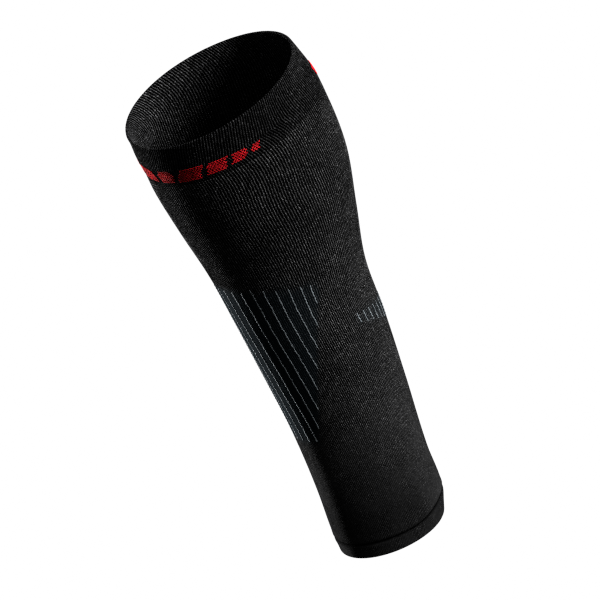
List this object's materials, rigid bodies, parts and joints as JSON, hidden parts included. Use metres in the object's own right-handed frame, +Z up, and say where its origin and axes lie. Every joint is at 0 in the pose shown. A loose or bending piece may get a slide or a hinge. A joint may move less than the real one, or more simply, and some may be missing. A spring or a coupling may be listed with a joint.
{
  "type": "calf compression sleeve",
  "caption": "Footless knitted tube sleeve in its worn form, narrow at the ankle and full over the calf, with a turned cuff, a turned hem, fine raised ribs and a band of red marks.",
  "frame": {"origin": "on the leg's axis, halfway between the hem's edge and the rim", "axes": "+Z up the leg, from the ankle to the knee; -Y the shin's side and +Y the calf muscle's side; +X the wearer's left, the side that the picture shows"},
  "size_m": [0.1151, 0.1215, 0.3284],
  "materials": {
    "black_knit": "matte ribbed knit, one layer, black with grey flecks",
    "cuff_knit": "matte ribbed knit, two layers turned over at the rim",
    "hem_knit": "matte fine ribbed knit, two layers turned over at the edge",
    "grey_yarn": "matte grey yarn in a raised line",
    "red_yarn": "matte red yarn, knitted in stitch by stitch"
  },
  "bodies": {
    "root": {"knit_tube": "black_knit", "top_cuff": "cuff_knit", "ankle_hem": "hem_knit", "shin_rib_01": "grey_yarn", "shin_rib_02": "grey_yarn", "shin_rib_03": "grey_yarn", "shin_rib_04": "grey_yarn", "shin_rib_05": "grey_yarn", "shin_rib_06": "grey_yarn", "shin_rib_07": "grey_yarn", "shin_rib_08": "grey_yarn", "shin_rib_09": "grey_yarn", "shin_rib_10": "grey_yarn", "shin_rib_11": "grey_yarn", "shin_rib_12": "grey_yarn", "shin_rib_13": "grey_yarn", "shin_rib_14": "grey_yarn", "shin_rib_15": "grey_yarn", "shin_rib_16": "grey_yarn", "shin_rib_17": "grey_yarn", "shin_rib_18": "grey_yarn", "shin_rib_19": "grey_yarn", "calf_rib_01": "grey_yarn", "calf_rib_02": "grey_yarn", "calf_rib_03": "grey_yarn", "calf_rib_04": "grey_yarn", "calf_rib_05": "grey_yarn", "calf_rib_06": "grey_yarn", "calf_rib_07": "grey_yarn", "calf_rib_08": "grey_yarn", "calf_rib_09": "grey_yarn", "calf_rib_10": "grey_yarn", "calf_rib_11": "grey_yarn", "calf_rib_12": "grey_yarn", "calf_rib_13": "grey_yarn", "calf_rib_14": "grey_yarn", "calf_rib_15": "grey_yarn", "calf_rib_16": "grey_yarn", "calf_rib_17": "grey_yarn", "calf_rib_18": "grey_yarn", "calf_rib_19": "grey_yarn", "calf_rib_20": "grey_yarn", "calf_rib_21": "grey_yarn", "cuff_mark_01": "red_yarn", "cuff_mark_02": "red_yarn", "cuff_mark_03": "red_yarn", "cuff_mark_04": "red_yarn", "cuff_mark_05": "red_yarn", "cuff_mark_06": "red_yarn", "cuff_mark_07": "red_yarn", "cuff_mark_08": "red_yarn", "cuff_mark_09": "red_yarn", "cuff_mark_10": "red_yarn", "cuff_mark_11": "red_yarn", "cuff_mark_12": "red_yarn", "cuff_mark_13": "red_yarn", "cuff_mark_14": "red_yarn"}
  },
  "joints": []
}
